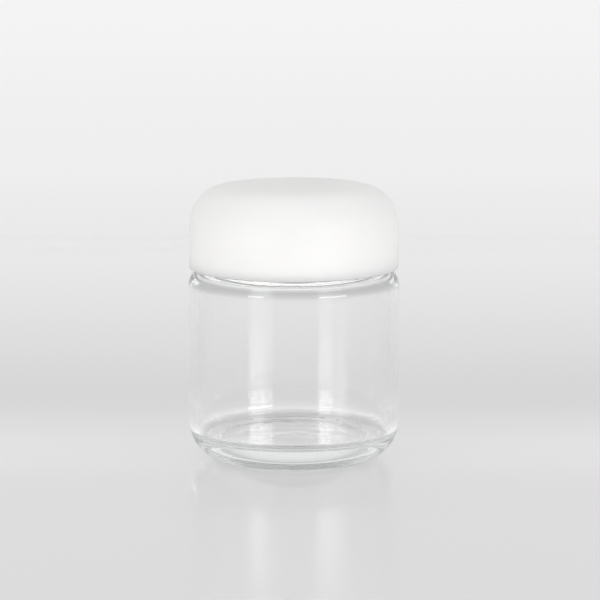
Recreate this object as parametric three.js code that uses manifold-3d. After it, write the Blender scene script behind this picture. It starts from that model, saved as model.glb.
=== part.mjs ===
// Cosmetic cream jar: a clear glass jar with a wide threaded neck, closed by a double-wall screw cap.
// Millimetres, +Z up. The origin is the centre of the base, on the surface that the jar stands on.
import * as THREE from 'three';
import { mergeVertices } from 'three/addons/utils/BufferGeometryUtils.js';
import { ParametricGeometry } from 'three/addons/geometries/ParametricGeometry.js';
import Module from 'manifold-3d';

const wasm = await Module();
wasm.setup();

// Driving dimensions of the glass jar
const bodyRadius = 30;
const bodyWall = 3.2;
const baseThickness = 7.3;
const heelReach = 10.6; // how far the round heel comes in from the wall
const heelHeight = 11.2;
const standingRingWidth = 0.9;
const pushUpDepth = 1.1; // the base is hollowed this much inside its standing ring
const floorFillet = 2;
const floorRing = { radius: 20.9, height: 0.8, width: 2 }; // a low ring moulded on the inner floor
const shoulderStart = 49.8;
const shoulderHeight = 5.3;
const neckRadius = 25.05; // thread root of a 53 mm continuous-thread finish
const boreRadius = 22.3;
const rimHeight = 66.5;
const rimRounding = 0.9;
const innerShoulderDrop = 2.2; // the inner shoulder lies this far below the outer one
const innerShoulderRise = 1.8;
const innerShoulderFullness = 2.5; // it turns in more squarely than the outer one
const boreRounding = 1.5;

// Driving dimensions of the screw thread, six turns to the inch
const threadLead = 25.4 / 6;
const threadTurns = 1.25;
const threadTopBelowRim = 1.9;
const neckRidge = { height: 1.15, width: 2.4 };
const capRidge = { height: -1.2, width: 1.9 }; // it stands inwards
const ridgeSunk = 0.4; // share of a ridge's height that is sunk into its wall
const ridgeSpacing = 1.9; // how far the cap's ridge lies under the neck's when the cap is tight
const threadTaper = 0.12; // share of the ridge over which each end fades into the wall
const threadStart = -0.25; // the thread starts this many turns round from +X

// Driving dimensions of the cap
const overallHeight = 79;
const capRadius = 29.7;
const capBottom = 54.9;
const capCorner = 12;
const capFullness = 2.25; // the corner is a little squarer than a true quarter circle
const capCrown = 0.5; // the top rises this much from its edge to its centre
const shellWall = 1.6;
const shellTop = 1.8;
const edgeRounding = 0.6;
const snapBead = 0.8;
const ribCount = 8;
const ribThickness = 1.2;
const ribInner = 8;
const fitGap = 0.3; // between two pieces that are assembled together
const seatGap = 0.1; // between two pieces that seal against each other
const insertRoot = 26.55;
const insertTop = 1.4;
const insertCorner = 2.5;
const lugHeight = 1.6;
const shoulderClearance = 1.55; // from the shoulder up to the insert

// Driving dimensions of the liner and of the sealing disc
const linerRadius = 25.6;
const linerThickness = 1.5;
const linerEdge = 0.25;
const discRadius = 24.8;
const discPlate = 1;
const discPlugDepth = 2.4;
const discPlugWall = 0.9;
const discPlugTaper = 0.5;
const tabWidth = 20;
const tabBand = 2.6;
const tabThickness = 0.7;
const tabLift = 0.5; // the tab lies this far above the disc's floor
const tabHinge = 1.4;

// How finely round shapes are divided
const segments = 48;
const ridgeFacets = 8;

// Heights that follow from the seating of the pieces on each other
const discSeat = rimHeight + seatGap;
const linerSeat = discSeat + discPlate + seatGap;
const insertCeiling = linerSeat + linerThickness + seatGap;
const insertHeight = insertCeiling + insertTop;
const insertBottom = shoulderStart + shoulderHeight + shoulderClearance;
const shellInner = capRadius - shellWall;
const insertOuter = shellInner - 1.5 * fitGap;

function point(r, z) {
  return new THREE.Vector2(r, z);
}

// Points on part of an ellipse with its centre at (r, z), from one angle to another in degrees.
// A fullness above 2 makes it squarer than an ellipse.
function arc(r, z, reach, rise, from, to, steps, fullness = 2) {
  const stretch = (value) => Math.sign(value) * Math.abs(value) ** (2 / fullness);
  const points = [];
  for (let i = 0; i <= steps; i += 1) {
    const angle = THREE.MathUtils.degToRad(from + ((to - from) * i) / steps);
    points.push(point(r + reach * stretch(Math.cos(angle)), z + rise * stretch(Math.sin(angle))));
  }
  return points;
}

// Points between two radii, raised from a level as one smooth swelling. The share is how much of the
// swelling they cover, so 0.5 to 1 is only its falling half.
function swelling(fromRadius, toRadius, level, height, fromShare, toShare, steps) {
  const points = [];
  for (let i = 0; i <= steps; i += 1) {
    const t = i / steps;
    const share = fromShare + (toShare - fromShare) * t;
    const rise = height * (0.5 - 0.5 * Math.cos(2 * Math.PI * share));
    points.push(point(fromRadius + (toRadius - fromRadius) * t, level + rise));
  }
  return points;
}

// Turns an outline of (radius, height) points round the Z axis.
function revolve(outline) {
  return new THREE.LatheGeometry(outline, segments).rotateX(Math.PI / 2);
}

function box(width, depth, height, x, y, z) {
  return new THREE.BoxGeometry(width, depth, height).translate(x, y, z);
}

// Makes a closed geometry into a solid that can be joined and cut.
function solid(geometry) {
  const bare = geometry.clone();
  bare.deleteAttribute('normal');
  bare.deleteAttribute('uv');
  const merged = mergeVertices(bare, 1e-4);
  const index = merged.index.array;
  const triangles = [];
  for (let i = 0; i < index.length; i += 3) {
    const [a, b, c] = [index[i], index[i + 1], index[i + 2]];
    if (a !== b && b !== c && c !== a) triangles.push(a, b, c);
  }
  const mesh = new wasm.Mesh({
    numProp: 3,
    vertProperties: new Float32Array(merged.attributes.position.array),
    triVerts: new Uint32Array(triangles),
  });
  return new wasm.Manifold(mesh);
}

function geometryOf(body) {
  const mesh = body.getMesh();
  const geometry = new THREE.BufferGeometry();
  geometry.setAttribute('position', new THREE.BufferAttribute(mesh.vertProperties, 3));
  geometry.setIndex(new THREE.BufferAttribute(mesh.triVerts, 1));
  geometry.computeVertexNormals();
  return geometry;
}

// A right-hand thread ridge: an ellipse that climbs round a wall of the given radius, partly sunk into it,
// and fades to a point at both ends.
function threadRidge(radius, ridge, topHeight) {
  const rings = Math.round(segments * threadTurns);
  const halfWidth = (Math.sign(ridge.height) * ridge.width) / 2;
  const climb = (t, around, target) => {
    const angle = 2 * Math.PI * (threadTurns * t + threadStart);
    const fade = THREE.MathUtils.smoothstep(Math.min(t, 1 - t), 0, threadTaper);
    const section = 2 * Math.PI * around;
    const r = radius + ridge.height * fade * Math.max(Math.cos(section), -ridgeSunk);
    const middle = topHeight - threadLead * threadTurns * (1 - t);
    target.set(r * Math.cos(angle), r * Math.sin(angle), middle + halfWidth * fade * Math.sin(section));
  };
  return new ParametricGeometry(climb, rings, ridgeFacets);
}

// The glass jar: push-up, standing ring, heel, wall, shoulder, neck and rim, then back down the inside to
// the floor and its ring.
function glassOutline() {
  const ringOuter = bodyRadius - heelReach;
  const ringInner = ringOuter - standingRingWidth;
  const innerRadius = bodyRadius - bodyWall;
  const innerShoulderTop = shoulderStart + shoulderHeight - innerShoulderDrop;
  const innerShoulderReach = innerRadius - boreRadius - boreRounding;
  const floorRingOuter = floorRing.radius + floorRing.width / 2;
  const floorRingInner = floorRing.radius - floorRing.width / 2;
  return [
    ...swelling(0, ringInner, 0, pushUpDepth, 0.5, 1, 6),
    ...arc(ringOuter, heelHeight, heelReach, heelHeight, -90, 0, 7),
    ...arc(neckRadius, shoulderStart, bodyRadius - neckRadius, shoulderHeight, 0, 90, 6),
    ...arc(neckRadius - rimRounding, rimHeight - rimRounding, rimRounding, rimRounding, 0, 90, 2),
    ...arc(boreRadius + rimRounding, rimHeight - rimRounding, rimRounding, rimRounding, 90, 180, 2),
    ...arc(boreRadius + boreRounding, innerShoulderTop + boreRounding, boreRounding, boreRounding, 180, 270, 3),
    ...arc(innerRadius - innerShoulderReach, innerShoulderTop - innerShoulderRise, innerShoulderReach,
      innerShoulderRise, 80, 0, 4, innerShoulderFullness),
    ...arc(innerRadius - floorFillet, baseThickness + floorFillet, floorFillet, floorFillet, 0, -90, 5),
    ...swelling(floorRingOuter, floorRingInner, baseThickness, floorRing.height, 0, 1, 6),
    point(0, baseThickness),
  ];
}

function glassJar() {
  const thread = solid(threadRidge(neckRadius, neckRidge, rimHeight - threadTopBelowRim));
  return geometryOf(solid(revolve(glassOutline())).add(thread));
}

// The outside of the dome, closed across its open end.
function domeOutline() {
  const corner = capRadius - capCorner;
  return [
    point(0, capBottom),
    ...arc(capRadius - edgeRounding, capBottom + edgeRounding, edgeRounding, edgeRounding, -90, 0, 2),
    ...arc(corner, overallHeight - capCrown - capCorner, capCorner, capCorner, 0, 90, 8, capFullness),
    point(corner / 2, overallHeight - capCrown / 4),
    point(0, overallHeight),
  ];
}

// The space inside the dome, with the bead that the insert snaps past near its open end.
function domeHollowOutline() {
  const corner = capRadius - capCorner;
  const innerCorner = capCorner - shellWall;
  const ceiling = overallHeight - capCrown - shellTop;
  const beadTop = insertBottom - fitGap;
  return [
    point(0, capBottom - 1),
    point(shellInner + edgeRounding, capBottom - 1),
    point(shellInner + edgeRounding / 2, capBottom),
    point(shellInner, capBottom + edgeRounding),
    point(shellInner - snapBead, beadTop - snapBead / 4),
    point(shellInner - snapBead, beadTop - snapBead / 8),
    point(shellInner, beadTop),
    ...arc(corner, ceiling - innerCorner, innerCorner, innerCorner, 0, 90, 7, capFullness),
    point(0, ceiling),
  ];
}

// Radial ribs under the top of the dome. They stand on the insert's lugs and keep the dome from sinking.
function domeRibs() {
  const bottom = insertHeight + fitGap;
  const height = overallHeight - bottom;
  const length = shellInner - ribInner;
  const rib = box(length, ribThickness, height, ribInner + length / 2, 0, bottom + height / 2);
  const ribs = [];
  for (let i = 0; i < ribCount; i += 1) {
    ribs.push(solid(rib.clone().rotateZ((2 * Math.PI * i) / ribCount)));
  }
  return ribs.reduce((all, one) => all.add(one));
}

function capShell() {
  const hollow = solid(revolve(domeHollowOutline())).subtract(domeRibs());
  return geometryOf(solid(revolve(domeOutline())).subtract(hollow));
}

// The insert's wall and top plate. The wall stops just above the jar's shoulder.
function insertOutline() {
  return [
    point(0, insertCeiling),
    point(insertRoot, insertCeiling),
    point(insertRoot, insertBottom + edgeRounding),
    point(insertRoot + edgeRounding / 2, insertBottom),
    point(insertOuter - edgeRounding / 2, insertBottom),
    point(insertOuter, insertBottom + edgeRounding),
    ...arc(insertOuter - insertCorner, insertHeight - insertCorner, insertCorner, insertCorner, 0, 90, 4),
    point(0, insertHeight),
  ];
}

// Lugs on the insert's top plate, in pairs that hold each rib of the dome between them, so that the
// dome can't turn without the insert.
function insertLugs() {
  const lugThickness = ribThickness;
  const lugLength = (insertOuter - ribInner) / 2;
  const offset = (ribThickness + lugThickness) / 2 + fitGap;
  const sunk = insertTop / 2;
  const height = lugHeight + sunk;
  const lugs = [];
  for (let i = 0; i < ribCount; i += 1) {
    for (const side of [-1, 1]) {
      const lug = box(lugLength, lugThickness, height, ribInner + lugLength / 2, side * offset,
        insertHeight - sunk + height / 2);
      lugs.push(solid(lug.rotateZ((2 * Math.PI * i) / ribCount)));
    }
  }
  return lugs.reduce((all, one) => all.add(one));
}

function capInsert() {
  const ridgeTop = rimHeight - threadTopBelowRim - ridgeSpacing;
  const thread = solid(threadRidge(insertRoot, capRidge, ridgeTop));
  const plateAndWall = solid(revolve(insertOutline()));
  return geometryOf(plateAndWall.add(insertLugs()).add(thread));
}

function linerDisc() {
  const top = linerSeat + linerThickness;
  const outline = [
    point(0, linerSeat),
    point(linerRadius - linerEdge, linerSeat),
    point(linerRadius, linerSeat + linerEdge),
    point(linerRadius, top - linerEdge),
    point(linerRadius - linerEdge, top),
    point(0, top),
  ];
  return geometryOf(solid(revolve(outline)));
}

// A shallow pan: a flange on the jar's rim, a tapered plug wall in the bore and a sunken floor.
function discOutline() {
  const plugOuter = boreRadius - seatGap;
  const plugInner = plugOuter - discPlugWall;
  const top = discSeat + discPlate;
  const bottom = discSeat - discPlugDepth;
  return [
    point(0, bottom),
    point(plugOuter - discPlugTaper, bottom),
    point(plugOuter, discSeat - discPlugDepth / 2),
    point(plugOuter, discSeat),
    point(discRadius, discSeat),
    point(discRadius, top),
    point(plugInner, top),
    point(plugInner - discPlugTaper, bottom + discPlate),
    point(0, bottom + discPlate),
  ];
}

// The pull tab: a flat D-shaped loop that lies in the pan and is joined to its floor along one side.
function pullTab(floor) {
  const radius = tabWidth / 2;
  const loop = new THREE.Shape();
  loop.absarc(0, 0, radius, 0, Math.PI, false);
  loop.closePath();
  const opening = new THREE.Path();
  const openingBottom = Math.asin(tabBand / (radius - tabBand));
  opening.absarc(0, 0, radius - tabBand, openingBottom, Math.PI - openingBottom, false);
  opening.closePath();
  loop.holes.push(opening);
  const band = new THREE.ExtrudeGeometry(loop, { depth: tabThickness, bevelEnabled: false, curveSegments: 12 });
  const sunk = discPlate / 2;
  const hingeHeight = sunk + tabLift + tabThickness;
  const hinge = box(tabWidth / 2, tabHinge, hingeHeight, 0, tabHinge / 2, floor - sunk + hingeHeight / 2);
  return solid(band.translate(0, 0, floor + tabLift)).add(solid(hinge));
}

function sealingDisc() {
  const floor = discSeat - discPlugDepth + discPlate;
  return geometryOf(solid(revolve(discOutline())).add(pullTab(floor)));
}

const finishes = {
  clearGlass: { color: 0xe6efec, roughness: 0.03, metalness: 0, transparent: true, opacity: 0.35 },
  satinWhite: { color: 0xf3f3f1, roughness: 0.5, metalness: 0 },
  mouldedWhite: { color: 0xf0f0ee, roughness: 0.42, metalness: 0 },
  whiteFoam: { color: 0xf4f3ef, roughness: 0.85, metalness: 0 },
  milkyPlastic: { color: 0xe9ecec, roughness: 0.38, metalness: 0 },
};

function piece(name, geometry, finish) {
  const mesh = new THREE.Mesh(geometry, new THREE.MeshStandardMaterial(finish));
  mesh.name = name;
  return mesh;
}

const jar = new THREE.Group();
jar.add(piece('glass_jar', glassJar(), finishes.clearGlass));
jar.add(piece('cap_shell', capShell(), finishes.satinWhite));
jar.add(piece('cap_insert', capInsert(), finishes.mouldedWhite));
jar.add(piece('liner_disc', linerDisc(), finishes.whiteFoam));
jar.add(piece('sealing_disc', sealingDisc(), finishes.milkyPlastic));

export default jar;
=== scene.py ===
"""Looks of the cosmetic cream jar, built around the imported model.

Every piece is rebuilt as a fine mesh in the place that the frame gives for its CAD node: the glass jar,
the white dome, the threaded insert inside it, the foam liner and the sealing disc with its pull tab.
Lengths are in metres. Sizes come from the frame's boxes, and the rest are named values here.
"""
import math

import bmesh
import bpy
import numpy as np
from mathutils import Matrix, Vector


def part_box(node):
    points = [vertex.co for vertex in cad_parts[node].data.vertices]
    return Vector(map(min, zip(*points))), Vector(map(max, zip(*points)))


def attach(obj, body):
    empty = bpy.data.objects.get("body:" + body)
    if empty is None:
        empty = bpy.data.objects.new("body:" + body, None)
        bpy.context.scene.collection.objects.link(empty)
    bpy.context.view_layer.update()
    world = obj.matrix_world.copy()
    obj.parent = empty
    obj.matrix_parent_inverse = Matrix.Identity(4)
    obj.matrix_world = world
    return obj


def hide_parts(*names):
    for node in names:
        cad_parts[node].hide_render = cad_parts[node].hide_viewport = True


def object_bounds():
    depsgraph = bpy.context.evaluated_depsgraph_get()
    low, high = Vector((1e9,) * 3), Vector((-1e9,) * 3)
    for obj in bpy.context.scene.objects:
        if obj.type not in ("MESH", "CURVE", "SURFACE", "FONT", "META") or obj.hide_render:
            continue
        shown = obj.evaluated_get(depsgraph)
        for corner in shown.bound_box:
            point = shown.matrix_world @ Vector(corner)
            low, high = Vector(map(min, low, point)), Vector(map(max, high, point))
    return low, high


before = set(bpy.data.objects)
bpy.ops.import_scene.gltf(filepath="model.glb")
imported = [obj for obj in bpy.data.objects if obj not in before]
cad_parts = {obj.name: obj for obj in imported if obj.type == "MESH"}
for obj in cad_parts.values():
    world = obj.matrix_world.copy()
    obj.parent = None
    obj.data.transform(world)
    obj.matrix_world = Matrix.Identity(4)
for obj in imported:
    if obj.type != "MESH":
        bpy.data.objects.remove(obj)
cad_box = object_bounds()

MM = 0.001
SEGMENTS = 256
ON_AXIS = 1e-9
SAME_POINT = 1e-7

# What the frame says
jar_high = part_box("glass_jar")[1]
shell_low, shell_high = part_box("cap_shell")
insert_low, insert_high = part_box("cap_insert")
liner_low, liner_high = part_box("liner_disc")
seal_low, seal_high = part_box("sealing_disc")
BODY_RADIUS = jar_high.x
RIM_HEIGHT = jar_high.z

# The glass jar's base and body
WALL = 3.2 * MM
INNER_RADIUS = BODY_RADIUS - WALL
BASE_THICKNESS = 7.3 * MM
HEEL_REACH = 10.6 * MM
HEEL_HEIGHT = 11.2 * MM
STANDING_RING = 0.9 * MM
RING_OUTER = BODY_RADIUS - HEEL_REACH
RING_INNER = RING_OUTER - STANDING_RING
PUSH_UP = 1.1 * MM
FLOOR_FILLET = 2.0 * MM
FLOOR_RING_RADIUS = 20.9 * MM
FLOOR_RING_HEIGHT = 0.8 * MM
FLOOR_RING_WIDTH = 2.0 * MM

# Its shoulder and neck
SHOULDER_START = 49.8 * MM
SHOULDER_HEIGHT = 5.3 * MM
SHOULDER_TOP = SHOULDER_START + SHOULDER_HEIGHT
SHOULDER_TURN = 80
NECK_RADIUS = 25.05 * MM
NECK_FILLET = 0.7 * MM
BORE_RADIUS = 22.3 * MM
BORE_ROUNDING = 1.5 * MM
RIM_ROUNDING = 0.9 * MM
INNER_SHOULDER_TOP = SHOULDER_TOP - 2.2 * MM
INNER_SHOULDER_RISE = 1.8 * MM
INNER_SHOULDER_START = INNER_SHOULDER_TOP - INNER_SHOULDER_RISE
INNER_SHOULDER_FULLNESS = 2.5

# The screw thread
LEAD = 25.4 / 6 * MM
TURNS = 1.25
THREAD_START = -0.25
THREAD_TAPER = 0.12
THREAD_ROUNDNESS = 0.8
THREAD_TOP = RIM_HEIGHT - 1.9 * MM
NECK_RIDGE = (1.15 * MM, 2.6 * MM)
CAP_RIDGE = (-1.2 * MM, 2.1 * MM)
RIDGE_SPACING = 1.9 * MM

# The cap
SHELL_WALL = 1.6 * MM
SHELL_TOP = 1.8 * MM
CAP_CORNER = 12.0 * MM
CAP_FULLNESS = 2.25
CAP_CROWN = 0.5 * MM
EDGE = 0.6 * MM
SNAP_BEAD = 0.8 * MM
RIB_COUNT = 8
RIB_THICKNESS = 1.2 * MM
RIB_INNER = 8.0 * MM
RIB_OUTER = shell_high.x - CAP_CORNER * 0.72
FIT_GAP = 0.3 * MM
INSERT_ROOT = 26.55 * MM
INSERT_TOP = 1.4 * MM
INSERT_CORNER = 2.5 * MM
LUG_HEIGHT = 1.6 * MM
LUG_FOOT = insert_high.z - LUG_HEIGHT

# The foam liner
LINER_EDGE = 0.25 * MM
LINER_DENT = 0.12 * MM

# The sealing disc
SEAL_PLATE = 1.0 * MM
SEAL_FLOOR = seal_low.z + SEAL_PLATE
SEAL_GAP = 0.1 * MM
SEAL_PLUG_WALL = 0.9 * MM
SEAL_PLUG_TAPER = 0.5 * MM
SEAL_EDGE = 0.2 * MM
TAB_RADIUS = 10.0 * MM
TAB_BAND = 2.6 * MM
TAB_THICKNESS = 0.7 * MM
TAB_LIFT = 0.5 * MM
TAB_HINGE = 1.4 * MM
TAB_SEGMENTS = 48


# Outlines. A row is (radius, height, relief), where relief is None or a function of angle and height that
# gives how far the surface stands out from the row's radius.

def row(r, z, relief=None):
    return (r, z, relief)


def arc(r, z, reach, rise, start, end, steps, fullness=2.0):
    """Rows on part of an ellipse round (r, z). A fullness above 2 makes it squarer."""
    rows = []
    for i in range(steps + 1):
        a = math.radians(start + (end - start) * i / steps)
        c, s = math.cos(a), math.sin(a)
        across = math.copysign(abs(c) ** (2 / fullness), c)
        along = math.copysign(abs(s) ** (2 / fullness), s)
        rows.append(row(r + reach * across, z + rise * along))
    return rows


def line(start, end, steps, relief=None):
    """Rows evenly spaced between two (radius, height) points, without the points themselves."""
    rows = []
    for i in range(1, steps):
        t = i / steps
        rows.append(row(start[0] + (end[0] - start[0]) * t, start[1] + (end[1] - start[1]) * t, relief))
    return rows


def smoothstep(low, high, value):
    t = np.clip((value - low) / (high - low), 0, 1)
    return t * t * (3 - 2 * t)


def thread_relief(ridge, top):
    """How far a thread ridge stands out from its wall, as a function of angle and height."""
    height, width = ridge

    def stand_out(angle, z):
        stand = np.zeros_like(angle)
        for whole in range(-1, math.ceil(TURNS) + 1):
            along = (angle / math.tau - THREAD_START + whole) / TURNS
            taper = smoothstep(0, THREAD_TAPER, np.minimum(along, 1 - along))
            middle = top - LEAD * TURNS * (1 - along)
            across = (z - middle) / np.maximum(width / 2 * taper, ON_AXIS)
            bump = np.clip(1 - across**2, 0, None) ** THREAD_ROUNDNESS
            stand = stand + np.where((along > 0) & (along < 1), height * taper * bump, 0)
        return stand

    return stand_out


def lathe(name, rows):
    """A mesh turned round the Z axis. Rows on the axis become poles."""
    kept = [rows[0]]
    for one in rows[1:]:
        if math.dist(one[:2], kept[-1][:2]) > SAME_POINT:
            kept.append(one)
    angles = np.arange(SEGMENTS) * math.tau / SEGMENTS
    points, rings = [], []
    for r, z, relief in kept:
        first = len(points)
        if r < ON_AXIS:
            points.append((0.0, 0.0, z))
            rings.append([first] * SEGMENTS)
            continue
        radii = r + (relief(angles, z) if relief else np.zeros(SEGMENTS))
        points.extend(zip(radii * np.cos(angles), radii * np.sin(angles), [z] * SEGMENTS))
        rings.append(list(range(first, first + SEGMENTS)))
    faces = []
    for low, high in zip(rings, rings[1:]):
        for i in range(SEGMENTS):
            j = (i + 1) % SEGMENTS
            corners = [low[i], low[j], high[j], high[i]]
            faces.append(list(dict.fromkeys(corners)))
    mesh = bpy.data.meshes.new(name)
    mesh.from_pydata(points, [], faces)
    mesh.update()
    return place(name, mesh)


def place(name, mesh):
    piece = bpy.data.objects.new(name, mesh)
    bpy.context.scene.collection.objects.link(piece)
    return piece


def smooth(piece, sharp_above=40):
    """Smooth shading, with edges sharper than the angle kept crisp."""
    mesh = piece.data
    mesh.polygons.foreach_set("use_smooth", [True] * len(mesh.polygons))
    mesh.set_sharp_from_angle(angle=math.radians(sharp_above))


def rounded_box(name, size, centre, turn=0.0, edge=0.15 * MM):
    """A box with its edges rounded, turned round the Z axis."""
    bm = bmesh.new()
    bmesh.ops.create_cube(bm, size=1.0)
    bmesh.ops.scale(bm, vec=Vector(size), verts=bm.verts)
    bmesh.ops.bevel(bm, geom=bm.edges[:], offset=edge, segments=2, affect="EDGES", profile=0.5)
    bmesh.ops.translate(bm, vec=Vector(centre), verts=bm.verts)
    bmesh.ops.rotate(bm, cent=(0, 0, 0), matrix=Matrix.Rotation(turn, 3, "Z"), verts=bm.verts)
    mesh = bpy.data.meshes.new(name)
    bm.to_mesh(mesh)
    bm.free()
    return place(name, mesh)


def join(piece, others):
    """Joins other closed meshes to the piece and deletes them."""
    for other in others:
        step = piece.modifiers.new("union", "BOOLEAN")
        step.operation = "UNION"
        step.solver = "EXACT"
        step.object = other
    graph = bpy.context.evaluated_depsgraph_get()
    result = bpy.data.meshes.new_from_object(piece.evaluated_get(graph))
    piece.modifiers.clear()
    piece.data = result
    for other in others:
        bpy.data.objects.remove(other)


# The glass jar, from the middle of the underside round the outside and back to the middle of the floor

def swell(rise, t):
    """A smooth bump of the given height over t from 0 to 1."""
    return rise * (0.5 - 0.5 * math.cos(math.tau * t))


def underside_rows(steps=32):
    """The underside, hollowed in a smooth bell inside the standing ring."""
    rows = []
    for i in range(steps + 1):
        t = i / steps
        rows.append(row(RING_INNER * t, swell(PUSH_UP, (1 + t) / 2)))
    return rows


def outside_rows():
    """The heel, the straight side and the shoulder."""
    reach = BODY_RADIUS - NECK_RADIUS
    rows = arc(RING_OUTER, HEEL_HEIGHT, HEEL_REACH, HEEL_HEIGHT, -90, 0, steps=48)
    rows += line((BODY_RADIUS, HEEL_HEIGHT), (BODY_RADIUS, SHOULDER_START), steps=24)
    return rows + arc(NECK_RADIUS, SHOULDER_START, reach, SHOULDER_HEIGHT, 0, SHOULDER_TURN, steps=28)


def neck_rows():
    """The fillet at the foot of the neck, the threaded wall, the rim and the way into the bore."""
    foot = SHOULDER_TOP + NECK_FILLET
    rim = RIM_HEIGHT - RIM_ROUNDING
    bore = BORE_RADIUS + BORE_ROUNDING
    thread = thread_relief(NECK_RIDGE, THREAD_TOP)
    rows = arc(NECK_RADIUS + NECK_FILLET, foot, NECK_FILLET, NECK_FILLET, 180 + SHOULDER_TURN, 180, steps=6)
    rows += line((NECK_RADIUS, foot), (NECK_RADIUS, rim), steps=72, relief=thread)
    rows += arc(NECK_RADIUS - RIM_ROUNDING, rim, RIM_ROUNDING, RIM_ROUNDING, 0, 90, steps=8)
    rows += arc(BORE_RADIUS + RIM_ROUNDING, rim, RIM_ROUNDING, RIM_ROUNDING, 90, 180, steps=8)
    return rows + arc(bore, INNER_SHOULDER_TOP + BORE_ROUNDING, BORE_ROUNDING, BORE_ROUNDING,
                      180, 180 + SHOULDER_TURN, steps=10)


def inside_rows():
    """The inner shoulder, which is squarer than the outer one, and the wall."""
    reach = INNER_RADIUS - BORE_RADIUS - BORE_ROUNDING
    rows = arc(INNER_RADIUS - reach, INNER_SHOULDER_START, reach, INNER_SHOULDER_RISE, SHOULDER_TURN, 0,
               steps=20, fullness=INNER_SHOULDER_FULLNESS)
    top = (INNER_RADIUS, INNER_SHOULDER_START)
    return rows + line(top, (INNER_RADIUS, BASE_THICKNESS + FLOOR_FILLET), steps=24)


def floor_rows(ring_steps=24):
    """The inside of the base: a fillet, then a flat floor with one low ring moulded on it."""
    flat = INNER_RADIUS - FLOOR_FILLET
    ring_outer = FLOOR_RING_RADIUS + FLOOR_RING_WIDTH / 2
    ring_inner = FLOOR_RING_RADIUS - FLOOR_RING_WIDTH / 2
    rows = arc(flat, BASE_THICKNESS + FLOOR_FILLET, FLOOR_FILLET, FLOOR_FILLET, 0, -90, steps=24)
    rows += line((flat, BASE_THICKNESS), (ring_outer, BASE_THICKNESS), steps=4)
    for i in range(ring_steps + 1):
        t = i / ring_steps
        rows.append(row(ring_outer - FLOOR_RING_WIDTH * t, BASE_THICKNESS + swell(FLOOR_RING_HEIGHT, t)))
    rows += line((ring_inner, BASE_THICKNESS), (0, BASE_THICKNESS), steps=16)
    return rows + [row(0, BASE_THICKNESS)]


def make_glass():
    outside = underside_rows() + outside_rows() + neck_rows()
    glass = lathe("jar_glass", outside + inside_rows() + floor_rows())
    smooth(glass, sharp_above=60)
    return glass


# The cap's white dome, from the middle of its ceiling round the edge and back to the middle of its top

def dome_inside_rows():
    """The ceiling, the wall and the bead that the insert snaps past."""
    inner = shell_high.x - SHELL_WALL
    inner_corner = CAP_CORNER - SHELL_WALL
    ceiling = shell_high.z - CAP_CROWN - SHELL_TOP
    corner = shell_high.x - CAP_CORNER
    bead = insert_low.z - FIT_GAP
    rows = [row(0, ceiling)]
    rows += line((0, ceiling), (corner, ceiling), steps=8)
    rows += arc(corner, ceiling - inner_corner, inner_corner, inner_corner, 90, 0,
                steps=32, fullness=CAP_FULLNESS)
    rows += line((inner, ceiling - inner_corner), (inner, bead + SNAP_BEAD / 2), steps=12)
    return rows + arc(inner, bead, SNAP_BEAD, SNAP_BEAD / 2, 90, 180, steps=6)


def dome_outside_rows(crown_steps=16):
    """The lower edge, the side, the large corner and the slightly crowned top."""
    radius, top, bottom = shell_high.x, shell_high.z, shell_low.z
    inner = radius - SHELL_WALL
    corner = radius - CAP_CORNER
    side_top = top - CAP_CROWN - CAP_CORNER
    rows = [row(inner, bottom + EDGE), row(inner + EDGE / 2, bottom)]
    rows += arc(radius - EDGE, bottom + EDGE, EDGE, EDGE, -90, 0, steps=8)
    rows += line((radius, bottom + EDGE), (radius, side_top), steps=16)
    rows += arc(corner, side_top, CAP_CORNER, CAP_CORNER, 0, 90, steps=48, fullness=CAP_FULLNESS)
    for i in range(1, crown_steps + 1):
        t = 1 - i / crown_steps
        rows.append(row(corner * t, top - CAP_CROWN * t * t))
    return rows


def make_dome():
    dome = lathe("cap_dome", dome_inside_rows() + dome_outside_rows())
    bottom = LUG_FOOT + FIT_GAP
    top = shell_high.z - CAP_CROWN - SHELL_TOP / 2
    size = (RIB_OUTER - RIB_INNER, RIB_THICKNESS, top - bottom)
    centre = ((RIB_OUTER + RIB_INNER) / 2, 0, (top + bottom) / 2)
    ribs = []
    for i in range(RIB_COUNT):
        ribs.append(rounded_box(f"rib_{i}", size, centre, math.tau * i / RIB_COUNT))
    join(dome, ribs)
    smooth(dome)
    return dome


# The threaded insert

def insert_rows():
    ceiling = LUG_FOOT - INSERT_TOP
    bottom = insert_low.z
    outer = insert_high.x
    thread = thread_relief(CAP_RIDGE, THREAD_TOP - RIDGE_SPACING)
    fillet = EDGE / 2
    rows = [row(0, ceiling)]
    rows += line((0, ceiling), (INSERT_ROOT - fillet, ceiling), steps=8)
    rows += arc(INSERT_ROOT - fillet, ceiling - fillet, fillet, fillet, 90, 0, steps=4)
    rows += line((INSERT_ROOT, ceiling - fillet), (INSERT_ROOT, bottom + EDGE), steps=84, relief=thread)
    rows += [row(INSERT_ROOT, bottom + EDGE), row(INSERT_ROOT + fillet, bottom)]
    rows += arc(outer - fillet, bottom + fillet, fillet, fillet, -90, 0, steps=4)
    corner = outer - INSERT_CORNER
    rows += arc(corner, LUG_FOOT - INSERT_CORNER, INSERT_CORNER, INSERT_CORNER, 0, 90, steps=12)
    rows += line((corner, LUG_FOOT), (0, LUG_FOOT), steps=8)
    return rows + [row(0, LUG_FOOT)]


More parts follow.
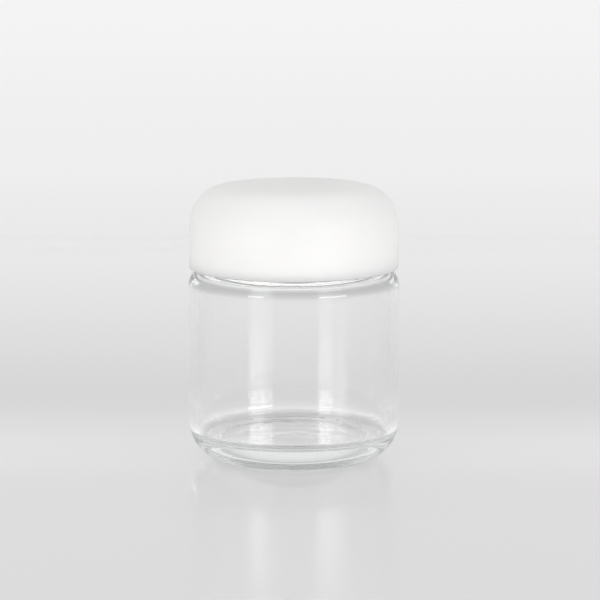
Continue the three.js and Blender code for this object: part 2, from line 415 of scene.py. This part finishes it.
def make_insert():
    """The insert, with a pair of lugs on its top for each rib of the dome."""
    insert = lathe("cap_insert_fine", insert_rows())
    length = (insert_high.x - RIB_INNER) / 2
    sunk = INSERT_TOP / 2
    offset = RIB_THICKNESS + FIT_GAP
    size = (length, RIB_THICKNESS, LUG_HEIGHT + sunk)
    lugs = []
    for i in range(RIB_COUNT):
        for side in (-1, 1):
            centre = (RIB_INNER + length / 2, side * offset, LUG_FOOT + (LUG_HEIGHT - sunk) / 2)
            lugs.append(rounded_box(f"lug_{i}_{side + 1}", size, centre, math.tau * i / RIB_COUNT))
    join(insert, lugs)
    smooth(insert)
    return insert


# The foam liner, with the ring that the rim has pressed into its face

def liner_rows(dent_steps=16):
    radius, low, high = liner_high.x, liner_low.z, liner_high.z
    side = radius - LINER_EDGE
    rows = [row(0, low)]
    rows += line((0, low), (BORE_RADIUS, low), steps=8)
    for i in range(dent_steps + 1):
        t = i / dent_steps
        r = BORE_RADIUS + (NECK_RADIUS - BORE_RADIUS) * t
        rows.append(row(r, low + LINER_DENT * math.sin(math.pi * t) ** 0.5))
    rows += arc(side, low + LINER_EDGE, LINER_EDGE, LINER_EDGE, -90, 0, steps=6)
    rows += arc(side, high - LINER_EDGE, LINER_EDGE, LINER_EDGE, 0, 90, steps=6)
    rows += line((side, high), (0, high), steps=8)
    return rows + [row(0, high)]


def make_liner():
    liner = lathe("foam_liner", liner_rows())
    smooth(liner)
    return liner


# The sealing disc: a shallow pan that plugs the bore, with a D-shaped pull tab lying in it

def seal_rows():
    bottom, top = seal_low.z, seal_high.z
    seat = top - SEAL_PLATE
    outer = seal_high.x
    plug_outer = BORE_RADIUS - SEAL_GAP
    plug_tip = plug_outer - SEAL_PLUG_TAPER
    plug_inner = plug_outer - SEAL_PLUG_WALL
    pan = plug_inner - SEAL_PLUG_TAPER
    e = SEAL_EDGE
    rows = [row(0, bottom)]
    rows += line((0, bottom), (plug_tip, bottom), steps=8)
    rows += [row(plug_tip, bottom), row(plug_outer - SEAL_PLUG_TAPER / 3, bottom + e * 2)]
    rows += [row(plug_outer, (seat + bottom) / 2), row(plug_outer, seat - e), row(plug_outer + e, seat)]
    rows += line((plug_outer + e, seat), (outer - e, seat), steps=4)
    rows += arc(outer - e, seat + e, e, e, -90, 0, steps=4)
    rows += arc(outer - e, top - e, e, e, 0, 90, steps=4)
    rows += arc(plug_inner + e, top - e, e, e, 90, 170, steps=4)
    rows += [row(pan, SEAL_FLOOR + e), row(pan - e, SEAL_FLOOR)]
    rows += line((pan - e, SEAL_FLOOR), (0, SEAL_FLOOR), steps=8)
    return rows + [row(0, SEAL_FLOOR)]


def half_ring(radius, start):
    """Points (x, y) on a half circle. A start angle above 0 cuts both of its ends back."""
    ring = []
    for i in range(TAB_SEGMENTS + 1):
        a = start + (math.pi - 2 * start) * i / TAB_SEGMENTS
        ring.append((radius * math.cos(a), radius * math.sin(a)))
    return ring


def tab_loop(low, high):
    """The flat D-shaped band of the pull tab, as a closed mesh."""
    inner = TAB_RADIUS - TAB_BAND
    outline = [half_ring(TAB_RADIUS, 0.0), half_ring(inner, math.asin(TAB_BAND / inner))]
    bm = bmesh.new()
    levels = []
    for z in (low, high):
        levels.append([[bm.verts.new((x, y, z)) for x, y in ring] for ring in outline])
    (low_outer, low_inner), (high_outer, high_inner) = levels
    n = TAB_SEGMENTS + 1
    for i in range(n):
        j = (i + 1) % n
        bm.faces.new((low_outer[j], low_outer[i], low_inner[i], low_inner[j]))
        bm.faces.new((high_outer[i], high_outer[j], high_inner[j], high_inner[i]))
        bm.faces.new((low_outer[i], low_outer[j], high_outer[j], high_outer[i]))
        bm.faces.new((low_inner[j], low_inner[i], high_inner[i], high_inner[j]))
    mesh = bpy.data.meshes.new("pull_tab")
    bm.to_mesh(mesh)
    bm.free()
    return place("pull_tab", mesh)


def make_seal():
    seal = lathe("seal_pan", seal_rows())
    tab_low = SEAL_FLOOR + TAB_LIFT
    tab_high = tab_low + TAB_THICKNESS
    foot = SEAL_FLOOR - SEAL_PLATE / 2
    size = (TAB_RADIUS, TAB_HINGE, tab_high - foot)
    hinge = rounded_box("tab_hinge", size, (0, TAB_HINGE / 2, (tab_high + foot) / 2), edge=0.1 * MM)
    join(seal, [tab_loop(tab_low, tab_high), hinge])
    smooth(seal, sharp_above=30)
    return seal


# Materials. Each has a colour, a roughness and a relief that vary over the surface.

WHITE = (1, 1, 1, 1)
NOISE_RANGE = (0.3, 0.7)  # nearly all of a noise texture's values lie between these
TINT_RANGE = (0.35, 0.65)
GLASS_IOR = 1.52
PLASTIC_IOR = 1.5
GLASS_TINT = (0.7, 0.76, 0.75, 1)
GLASS_DENSITY = 4
# The insert's glow is painted light that brightens the inside of the cap
INSERT_PAINTED_LIGHT = 0.56

# Where the glass is rippled: not at all outside the first and last height, fully between the other two
RIPPLE_HEIGHTS = (7.5 * MM, 11 * MM, 14 * MM, 19 * MM)
RIPPLE_DEPTH = 0.05 * MM


def new_material(name):
    """An empty node material, its node tree and its Principled shader."""
    material = bpy.data.materials.new(name)
    material.use_nodes = True
    tree = material.node_tree
    return material, tree, tree.nodes["Principled BSDF"]


def noise(tree, scale, detail=3.0, stretch=(1, 1, 1)):
    """Noise over object coordinates in metres; scale is in features per metre."""
    coordinates = tree.nodes.new("ShaderNodeTexCoord")
    mapping = tree.nodes.new("ShaderNodeMapping")
    mapping.inputs["Scale"].default_value = stretch
    texture = tree.nodes.new("ShaderNodeTexNoise")
    texture.inputs["Scale"].default_value = scale
    texture.inputs["Detail"].default_value = detail
    tree.links.new(coordinates.outputs["Object"], mapping.inputs["Vector"])
    tree.links.new(mapping.outputs["Vector"], texture.inputs["Vector"])
    return texture.outputs["Fac"]


def spread(tree, source, low, high):
    """Maps a noise value to a range."""
    ranged = tree.nodes.new("ShaderNodeMapRange")
    ranged.inputs["From Min"].default_value = NOISE_RANGE[0]
    ranged.inputs["From Max"].default_value = NOISE_RANGE[1]
    ranged.inputs["To Min"].default_value = low
    ranged.inputs["To Max"].default_value = high
    tree.links.new(source, ranged.inputs["Value"])
    return ranged.outputs["Result"]


def tinted(tree, source, first, second):
    """A colour between two, chosen by a noise value."""
    ramp = tree.nodes.new("ShaderNodeValToRGB")
    for stop, position, colour in zip(ramp.color_ramp.elements, TINT_RANGE, (first, second)):
        stop.position = position
        stop.color = (*colour, 1)
    tree.links.new(source, ramp.inputs["Fac"])
    return ramp.outputs["Color"]


def bumps(tree, shader, layers):
    """Adds bump layers of (height source, depth in metres) to a shader."""
    normal = None
    for source, depth in layers:
        bump = tree.nodes.new("ShaderNodeBump")
        bump.inputs["Strength"].default_value = 1.0
        bump.inputs["Distance"].default_value = depth
        tree.links.new(source, bump.inputs["Height"])
        if normal:
            tree.links.new(normal, bump.inputs["Normal"])
        normal = bump.outputs["Normal"]
    tree.links.new(normal, shader.inputs["Normal"])


def fade(tree, source, none, full):
    """A noise value that fades in from nothing at one height to its full strength at another."""
    coordinates = tree.nodes.new("ShaderNodeTexCoord")
    axes = tree.nodes.new("ShaderNodeSeparateXYZ")
    share = tree.nodes.new("ShaderNodeMapRange")
    share.interpolation_type = "SMOOTHSTEP"
    share.inputs["From Min"].default_value = none
    share.inputs["From Max"].default_value = full
    product = tree.nodes.new("ShaderNodeMath")
    product.operation = "MULTIPLY"
    tree.links.new(coordinates.outputs["Object"], axes.inputs["Vector"])
    tree.links.new(axes.outputs["Z"], share.inputs["Value"])
    tree.links.new(source, product.inputs[0])
    tree.links.new(share.outputs["Result"], product.inputs[1])
    return product.outputs["Value"]


def translucence(shader, weight, radius, scale):
    """Lets light spread under the surface of a plastic."""
    shader.inputs["Subsurface Weight"].default_value = weight
    shader.inputs["Subsurface Radius"].default_value = radius
    shader.inputs["Subsurface Scale"].default_value = scale


def clear_glass():
    """Pressed glass: slightly wavy, rippled low on the body, and faintly grey-green where it is thick."""
    material, tree, shader = new_material("clear_glass")
    shader.inputs["Transmission Weight"].default_value = 1.0
    shader.inputs["IOR"].default_value = GLASS_IOR
    waviness = noise(tree, scale=55, detail=2.0)
    fine_waves = noise(tree, scale=160, detail=2.0, stretch=(1, 1, 2.5))
    ripples = noise(tree, scale=110, detail=2.0, stretch=(0.6, 0.6, 4))
    low, low_full, high_full, high = RIPPLE_HEIGHTS
    ripples = fade(tree, ripples, none=high, full=high_full)
    ripples = fade(tree, ripples, none=low, full=low_full)
    colour = tinted(tree, waviness, first=(0.993, 0.995, 0.994), second=(1, 1, 1))
    tree.links.new(colour, shader.inputs["Base Color"])
    roughness = spread(tree, noise(tree, scale=300, detail=4.0), low=0.0, high=0.02)
    tree.links.new(roughness, shader.inputs["Roughness"])
    bumps(tree, shader, [(waviness, 0.05 * MM), (fine_waves, 0.01 * MM), (ripples, RIPPLE_DEPTH)])
    tint = tree.nodes.new("ShaderNodeVolumeAbsorption")
    tint.inputs["Color"].default_value = GLASS_TINT
    tint.inputs["Density"].default_value = GLASS_DENSITY
    tree.links.new(tint.outputs["Volume"], tree.nodes["Material Output"].inputs["Volume"])
    return material


def white_plastic(name, first, second, smoothest, roughest, grain, painted_light=0.0):
    """A white moulded plastic with a fine grain and faint flow marks, slightly translucent.

    The glow is painted light: it stands in for the light that comes through the plastic from outside.
    """
    material, tree, shader = new_material(name)
    flow = noise(tree, scale=40, stretch=(1, 1, 2))
    tree.links.new(tinted(tree, flow, first, second), shader.inputs["Base Color"])
    roughness = spread(tree, noise(tree, scale=900), smoothest, roughest)
    tree.links.new(roughness, shader.inputs["Roughness"])
    shader.inputs["IOR"].default_value = PLASTIC_IOR
    translucence(shader, weight=1.0, radius=(1.0, 0.97, 0.94), scale=2 * MM)
    shader.inputs["Emission Color"].default_value = WHITE
    shader.inputs["Emission Strength"].default_value = painted_light
    bumps(tree, shader, [(flow, 0.02 * MM), (noise(tree, scale=5200, detail=2.0), grain)])
    return material


def satin_white():
    return white_plastic("satin_white", first=(0.925, 0.925, 0.92), second=(0.945, 0.945, 0.94),
                         smoothest=0.42, roughest=0.52, grain=0.004 * MM)


def moulded_white():
    return white_plastic("moulded_white", first=(0.9, 0.9, 0.89), second=(0.93, 0.93, 0.92),
                         smoothest=0.32, roughest=0.45, grain=0.002 * MM, painted_light=INSERT_PAINTED_LIGHT)


def foam():
    """Closed-cell foam with fine cells and a slightly patchy skin."""
    material, tree, shader = new_material("white_foam")
    cells = tree.nodes.new("ShaderNodeTexVoronoi")
    cells.inputs["Scale"].default_value = 2600
    coordinates = tree.nodes.new("ShaderNodeTexCoord")
    tree.links.new(coordinates.outputs["Object"], cells.inputs["Vector"])
    patches = noise(tree, scale=120)
    colour = tinted(tree, patches, first=(0.84, 0.83, 0.8), second=(0.88, 0.87, 0.85))
    tree.links.new(colour, shader.inputs["Base Color"])
    tree.links.new(spread(tree, patches, low=0.75, high=0.95), shader.inputs["Roughness"])
    bumps(tree, shader, [(cells.outputs["Distance"], 0.05 * MM), (patches, 0.03 * MM)])
    return material


def milky_plastic():
    """Thin flexible plastic that lets some light through."""
    material, tree, shader = new_material("milky_plastic")
    flow = noise(tree, scale=70)
    colour = tinted(tree, flow, first=(0.8, 0.83, 0.84), second=(0.85, 0.87, 0.88))
    tree.links.new(colour, shader.inputs["Base Color"])
    roughness = spread(tree, noise(tree, scale=600, detail=2.0), low=0.3, high=0.45)
    tree.links.new(roughness, shader.inputs["Roughness"])
    translucence(shader, weight=0.5, radius=(1.0, 1.0, 1.0), scale=1.5 * MM)
    bumps(tree, shader, [(flow, 0.02 * MM), (noise(tree, scale=3000, detail=2.0), 0.003 * MM)])
    return material


def add_piece(piece, body, node, material):
    """Puts a finished piece in place of its CAD node."""
    piece.data.materials.clear()
    piece.data.materials.append(material)
    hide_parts(node)
    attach(piece, body)


# The stage: a pale floor that curves up into a backdrop, softboxes and the camera

FLOOR_FRONT = -1.6
FLOOR_BACK = 0.45
SWEEP_RADIUS = 0.5
SWEEP_STEPS = 24
STAGE_HALF_WIDTH = 2.2
STAGE_HEIGHT = 2.2
STAGE_GREY = (0.25, 0.25, 0.25, 1)
STAGE_ROUGHNESS = 0.18

# How strongly the stage glows, as (distance, strength). The glow is painted light: it fills in the jar's
# shadow on the floor, dips just behind the jar and where the floor turns up into the sweep as painted
# shade, then rises up the sweep and falls off near its top. The distance is 0 under the jar's middle and
# goes back over the floor and then up the backdrop.
STAGE_PAINTED_LIGHT = (
    (-0.2, 0.4), (-0.1, 0.38), (-0.04, 0.37), (0.0, 0.39), (0.05, 0.34), (0.1, 0.28),
    (0.2, 0.3), (0.3, 0.32), (0.4, 0.31), (0.45, 0.27), (0.475, 0.32), (0.51, 0.42),
    (0.55, 0.51), (0.6, 0.59), (0.7, 0.66), (0.83, 0.7), (1.05, 0.63), (1.3, 0.43),
)


def make_stage():
    profile = [(FLOOR_FRONT, 0.0), (FLOOR_BACK, 0.0)]
    for i in range(1, SWEEP_STEPS + 1):
        a = math.pi / 2 * i / SWEEP_STEPS
        profile.append((FLOOR_BACK + SWEEP_RADIUS * math.sin(a), SWEEP_RADIUS * (1 - math.cos(a))))
    profile.append((FLOOR_BACK + SWEEP_RADIUS, STAGE_HEIGHT))
    n = len(profile)
    points = [(x, y, z) for x in (-STAGE_HALF_WIDTH, STAGE_HALF_WIDTH) for y, z in profile]
    faces = [(i, n + i, n + i + 1, i + 1) for i in range(n - 1)]
    mesh = bpy.data.meshes.new("backdrop")
    mesh.from_pydata(points, [], faces)
    mesh.update()
    stage = place("backdrop", mesh)
    smooth(stage)
    stage.data.materials.append(stage_material())


def stage_material():
    """A pale semi-gloss sheet with a glow of painted light, stronger up the sweep, and painted shade where
    the glow dips.
    """
    material, tree, shader = new_material("pale_stage")
    shader.inputs["Base Color"].default_value = STAGE_GREY
    shader.inputs["Roughness"].default_value = STAGE_ROUGHNESS
    shader.inputs["Emission Color"].default_value = WHITE
    # The emission strength is painted light and painted shade on the stage
    tree.links.new(painted_stage_light(tree), shader.inputs["Emission Strength"])
    return material


def painted_stage_light(tree):
    """The painted light's strength at a point, read off the table of stage glow at the point's Y plus Z."""
    coordinates = tree.nodes.new("ShaderNodeTexCoord")
    axes = tree.nodes.new("ShaderNodeSeparateXYZ")
    distance = tree.nodes.new("ShaderNodeMath")
    distance.operation = "ADD"
    tree.links.new(coordinates.outputs["Object"], axes.inputs["Vector"])
    tree.links.new(axes.outputs["Y"], distance.inputs[0])
    tree.links.new(axes.outputs["Z"], distance.inputs[1])
    start, end = STAGE_PAINTED_LIGHT[0][0], STAGE_PAINTED_LIGHT[-1][0]
    fraction = tree.nodes.new("ShaderNodeMapRange")
    fraction.inputs["From Min"].default_value = start
    fraction.inputs["From Max"].default_value = end
    tree.links.new(distance.outputs["Value"], fraction.inputs["Value"])
    painted_light = tree.nodes.new("ShaderNodeFloatCurve")
    points = painted_light.mapping.curves[0].points
    points[0].location = (0, STAGE_PAINTED_LIGHT[0][1])
    points[1].location = (1, STAGE_PAINTED_LIGHT[-1][1])
    for where, strength in STAGE_PAINTED_LIGHT[1:-1]:
        points.new((where - start) / (end - start), strength)
    painted_light.mapping.update()
    tree.links.new(fraction.outputs["Result"], painted_light.inputs["Value"])
    return painted_light.outputs["Value"]


SOFTBOX_DISTANCE = 0.75
ROOM_LIGHT = 0.647


def softbox(name, azimuth, elevation, width, height, power):
    """A rectangular light aimed at the jar. Azimuth 0 is the camera's side, positive to the right."""
    light = bpy.data.lights.new(name, "AREA")
    light.shape = "RECTANGLE"
    light.size = width
    light.size_y = height
    light.energy = power
    box = bpy.data.objects.new(name, light)
    bpy.context.scene.collection.objects.link(box)
    a, e = math.radians(azimuth), math.radians(elevation)
    middle = Vector((0, 0, (cad_box[0].z + cad_box[1].z) / 2))
    away = Vector((math.sin(a) * math.cos(e), -math.cos(a) * math.cos(e), math.sin(e)))
    box.location = middle + away * SOFTBOX_DISTANCE
    box.rotation_euler = (-away).to_track_quat("-Z", "Y").to_euler()


def make_lights():
    softbox("left_softbox", azimuth=-41, elevation=9, width=0.22, height=0.12, power=0.38)
    softbox("right_softbox", azimuth=42.5, elevation=9, width=0.42, height=0.12, power=0.8)
    softbox("key_light", azimuth=-39, elevation=32, width=0.3, height=0.3, power=0.41)
    world = bpy.data.worlds.new("room")
    world.use_nodes = True
    world.node_tree.nodes["Background"].inputs["Color"].default_value = WHITE
    world.node_tree.nodes["Background"].inputs["Strength"].default_value = ROOM_LIGHT
    bpy.context.scene.world = world


CAMERA_DISTANCE = 0.9
CAMERA_ELEVATION = 9.345
CAMERA_LENS = 189.4
CAMERA_SENSOR = 36
CAMERA_NEAREST = 0.01
CAMERA_TARGET = Vector((0, 0, 0.038))
CAMERA_AIM = Vector((0.00177, 0, 0.0455))


def make_camera():
    data = bpy.data.cameras.new("camera")
    data.lens = CAMERA_LENS
    data.sensor_width = CAMERA_SENSOR
    data.clip_start = CAMERA_NEAREST
    camera = bpy.data.objects.new("camera", data)
    bpy.context.scene.collection.objects.link(camera)
    e = math.radians(CAMERA_ELEVATION)
    camera.location = CAMERA_TARGET + CAMERA_DISTANCE * Vector((0, -math.cos(e), math.sin(e)))
    camera.rotation_euler = (CAMERA_AIM - camera.location).to_track_quat("-Z", "Y").to_euler()
    bpy.context.scene.camera = camera


GLASS_BOUNCES = 64
DIFFUSE_BOUNCES = 8


def set_render_paths():
    """Enough bounces for light to get through the thick glass, and true tones for a white scene."""
    scene = bpy.context.scene
    scene.view_settings.view_transform = "Standard"
    scene.cycles.max_bounces = GLASS_BOUNCES
    scene.cycles.transmission_bounces = GLASS_BOUNCES
    scene.cycles.glossy_bounces = GLASS_BOUNCES
    scene.cycles.diffuse_bounces = DIFFUSE_BOUNCES


add_piece(make_glass(), "jar", "glass_jar", clear_glass())
add_piece(make_dome(), "cap", "cap_shell", satin_white())
add_piece(make_insert(), "cap", "cap_insert", moulded_white())
add_piece(make_liner(), "liner", "liner_disc", foam())
add_piece(make_seal(), "seal", "sealing_disc", milky_plastic())
make_stage()
make_lights()
make_camera()
set_render_paths()
